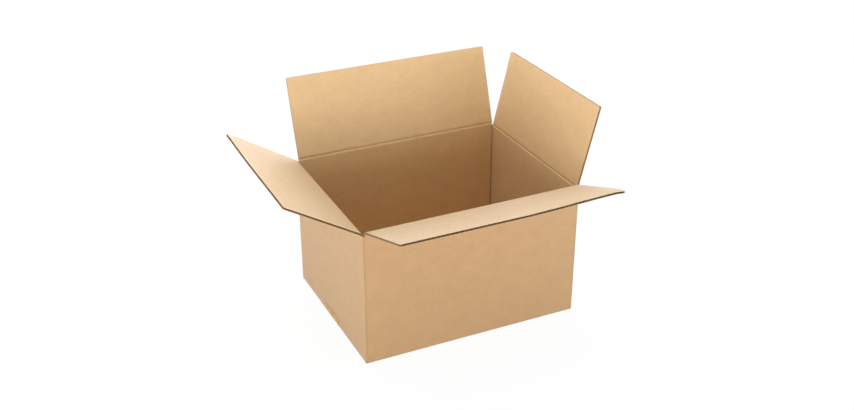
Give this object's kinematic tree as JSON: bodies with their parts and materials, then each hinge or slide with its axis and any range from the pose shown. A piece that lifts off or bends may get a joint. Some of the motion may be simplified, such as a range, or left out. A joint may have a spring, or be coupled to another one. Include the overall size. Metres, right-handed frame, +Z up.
{
  "type": "open cardboard box",
  "caption": "Plain kraft shipping carton of the slotted kind, standing open, with four hinged top flaps and a taped bottom",
  "frame": {"origin": "centre of the underside, on the surface the carton stands on", "axes": "+X along the long walls to the right, +Y from the front to the back, +Z up"},
  "size_m": [0.4486, 0.3958, 0.3092],
  "materials": {
    "kraft_board": "matt, uncoated kraft liner",
    "parcel_tape": "semi-gloss film"
  },
  "bodies": {
    "carton": {"carton_body": "kraft_board", "bottom_tape": "parcel_tape"},
    "front_lid": {"front_flap": "kraft_board"},
    "back_lid": {"back_flap": "kraft_board"},
    "left_lid": {"left_flap": "kraft_board"},
    "right_lid": {"right_flap": "kraft_board"}
  },
  "joints": [
    {"name": "front_fold", "type": "hinge", "parent": "carton", "child": "front_lid", "pos_m": [0, -0.1241, 0.1973], "axis": [1, 0, 0], "range_deg": [-161, 104]},
    {"name": "back_fold", "type": "hinge", "parent": "carton", "child": "back_lid", "pos_m": [0, 0.1241, 0.1973], "axis": [-1, 0, 0], "range_deg": [-108.5, 156.5]},
    {"name": "left_fold", "type": "hinge", "parent": "carton", "child": "left_lid", "pos_m": [-0.1601, 0, 0.194], "axis": [0, -1, 0], "range_deg": [-149, 116]},
    {"name": "right_fold", "type": "hinge", "parent": "carton", "child": "right_lid", "pos_m": [0.1601, 0, 0.194], "axis": [0, 1, 0], "range_deg": [-104, 161]}
  ]
}
